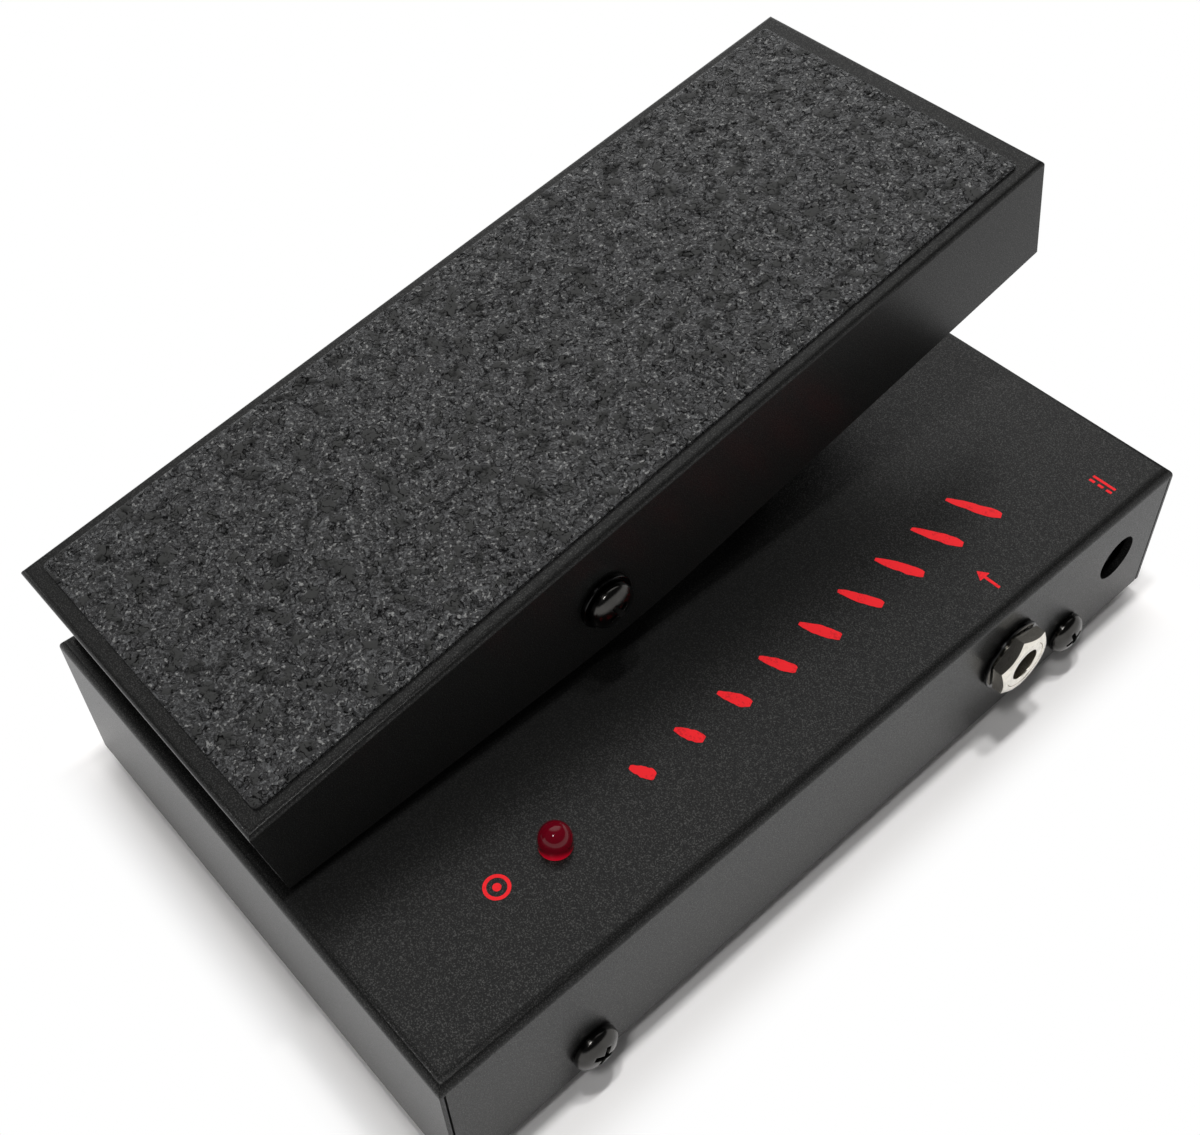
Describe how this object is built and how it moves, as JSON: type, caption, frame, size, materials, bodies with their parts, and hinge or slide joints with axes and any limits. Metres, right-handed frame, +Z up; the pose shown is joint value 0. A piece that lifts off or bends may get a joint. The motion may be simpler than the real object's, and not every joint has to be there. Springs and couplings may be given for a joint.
{
  "type": "guitar effects pedal",
  "caption": "Compact rocker foot pedal for electric guitar: folded steel case with side sockets and a lamp, and a sprung tilting treadle with a grippy rubber pad.",
  "frame": {"origin": "on the floor, under the middle of the pedal's outline", "axes": "+Y from the heel end to the toe end, +X to the player's right, +Z up"},
  "size_m": [0.115, 0.1756, 0.0871],
  "materials": {
    "powder_coat": "fine-textured black powder coat",
    "pad_rubber": "wrinkled non-slip rubber",
    "black_screw": "glossy black plating",
    "black_washer": "glossy black",
    "nickel": "bright nickel",
    "zinc": "zinc-plated",
    "black_plastic": "moulded",
    "nylon": "natural nylon",
    "foot_rubber": "matt",
    "red_lens": "translucent red epoxy",
    "board_green": "solder mask",
    "red_wire": "insulation",
    "black_wire": "insulation",
    "spring_steel": "drawn wire",
    "relay_case": "moulded",
    "inductor_case": "moulded",
    "capacitor_sleeve": "shrink sleeve",
    "red_print": "printed ink"
  },
  "bodies": {
    "base": {"base_cover": "powder_coat", "bottom_plate": "powder_coat", "foot_toe_right": "foot_rubber", "foot_toe_left": "foot_rubber", "foot_heel_right": "foot_rubber", "foot_heel_left": "foot_rubber", "foot_screw_toe_right": "zinc", "foot_screw_toe_left": "zinc", "foot_screw_heel_right": "zinc", "foot_screw_heel_left": "zinc", "case_screw_toe_right": "black_screw", "case_screw_toe_left": "black_screw", "case_screw_heel_right": "black_screw", "case_screw_heel_left": "black_screw", "input_jack_body": "black_plastic", "input_jack_bushing": "nickel", "input_jack_washer": "black_washer", "input_jack_nut": "nickel", "output_jack_body": "black_plastic", "output_jack_bushing": "nickel", "output_jack_washer": "black_washer", "output_jack_nut": "nickel", "power_inlet": "black_plastic", "circuit_board": "board_green", "board_standoff_right": "zinc", "board_standoff_left": "zinc", "board_screw_right": "zinc", "board_screw_left": "zinc", "bypass_relay": "relay_case", "signal_chip": "black_plastic", "filter_inductor": "inductor_case", "supply_capacitor": "capacitor_sleeve", "position_sensor": "black_plastic", "indicator_led": "red_lens", "led_holder": "black_plastic", "led_wire_red": "red_wire", "led_wire_black": "black_wire", "pivot_bracket": "powder_coat", "bracket_screw_right": "zinc", "bracket_screw_left": "zinc", "bracket_nut_right": "zinc", "bracket_nut_left": "zinc", "pivot_screw_right": "black_screw", "pivot_screw_left": "black_screw", "pivot_washer_right": "black_washer", "pivot_washer_left": "black_washer", "pivot_nut_right": "zinc", "pivot_nut_left": "zinc", "return_spring": "spring_steel", "spring_seat": "black_plastic", "heel_stop": "foot_rubber", "toe_stop": "foot_rubber"},
    "treadle": {"treadle": "powder_coat", "treadle_pad": "pad_rubber", "pivot_bushing_right": "nylon", "pivot_bushing_left": "nylon", "shutter_vane": "black_plastic", "vane_rivet_toe": "zinc", "vane_rivet_heel": "zinc"}
  },
  "joints": [
    {"name": "treadle_hinge", "type": "hinge", "parent": "base", "child": "treadle", "pos_m": [-0.0194, -0.02138, 0.0533], "axis": [-1, 0, 0], "range_deg": [0, 13.33], "stiffness_Nm_per_rad": 1.2, "springref_deg": -14.32, "deforming": ["return_spring"]}
  ]
}
